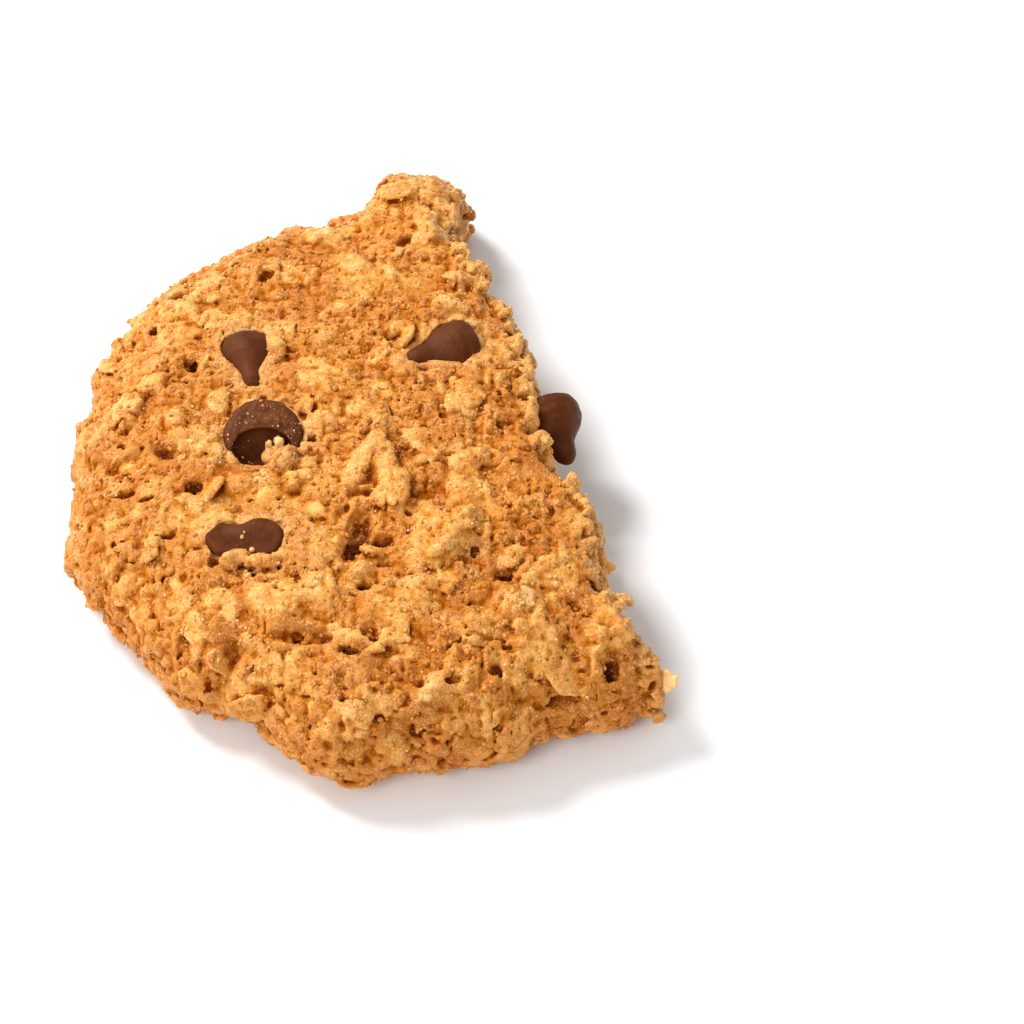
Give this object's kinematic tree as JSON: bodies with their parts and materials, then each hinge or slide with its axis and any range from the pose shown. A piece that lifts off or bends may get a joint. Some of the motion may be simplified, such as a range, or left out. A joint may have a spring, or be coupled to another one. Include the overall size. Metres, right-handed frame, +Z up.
{
  "type": "oat chocolate chip cookie, broken piece",
  "caption": "The larger piece of a round oat cookie broken in two, lying flat: craggy browned crust, a rough break that shows the crumb, and chocolate chips sunk into it.",
  "frame": {"origin": "on the underside, below the middle of the piece's bounding box", "axes": "+Z up through the crown, +Y along the longest way across the piece, away from the viewer of the picture, +X to the right, through the broken face"},
  "size_m": [0.0572, 0.0748, 0.0146],
  "materials": {
    "baked_dough": "matte baked dough, craggy, golden to brown",
    "chocolate": "dull milk chocolate with a slight sheen"
  },
  "bodies": {
    "root": {"cookie": "baked_dough", "chip_1": "chocolate", "chip_2": "chocolate", "chip_3": "chocolate", "chip_4": "chocolate", "chip_5": "chocolate"}
  },
  "joints": []
}
